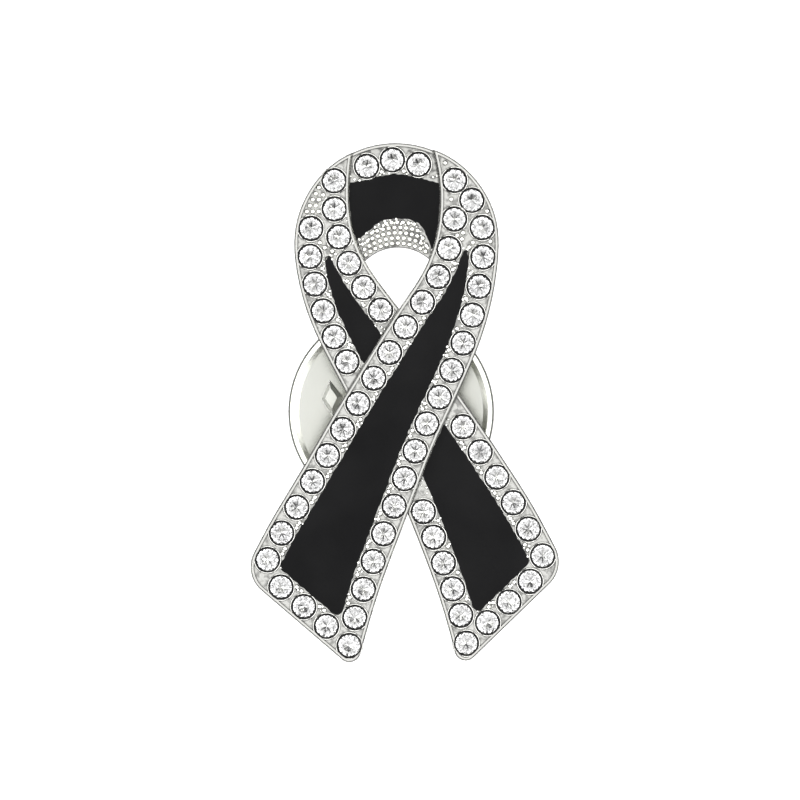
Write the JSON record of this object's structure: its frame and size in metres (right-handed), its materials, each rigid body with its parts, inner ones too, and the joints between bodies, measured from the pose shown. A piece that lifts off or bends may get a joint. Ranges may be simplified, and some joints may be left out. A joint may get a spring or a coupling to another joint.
{
  "type": "awareness ribbon pin",
  "caption": "Looped ribbon brooch in silver plate and black enamel, edged with round crystals, on a tack post with a butterfly clutch.",
  "frame": {"origin": "on the tack post's axis, at the flat back of the casting", "axes": "+X across the ribbon to the right, +Y from the legs to the loop, +Z out of the ribbon's face; the pin lies face up on its clutch"},
  "size_m": [0.0189, 0.032, 0.0118],
  "materials": {
    "silver_plate": "polished silver plate over a zinc alloy casting",
    "black_enamel": "soft enamel, level and glossy",
    "crystal": "clear cut glass with a foiled pavilion",
    "clutch_metal": "nickel-plated brass, polished"
  },
  "bodies": {
    "clutch": {"clutch_dish": "clutch_metal", "clutch_spring": "clutch_metal"},
    "pin": {"ribbon_casting": "silver_plate", "enamel_top": "black_enamel", "enamel_left": "black_enamel", "enamel_front": "black_enamel", "enamel_right": "black_enamel", "crystals_front_strand": "crystal", "crystals_back_strand": "crystal"}
  },
  "joints": [
    {"name": "clutch_pull", "type": "slide", "parent": "clutch", "child": "pin", "axis": [0, 0, 1], "range_m": [0, 0.0065]}
  ]
}
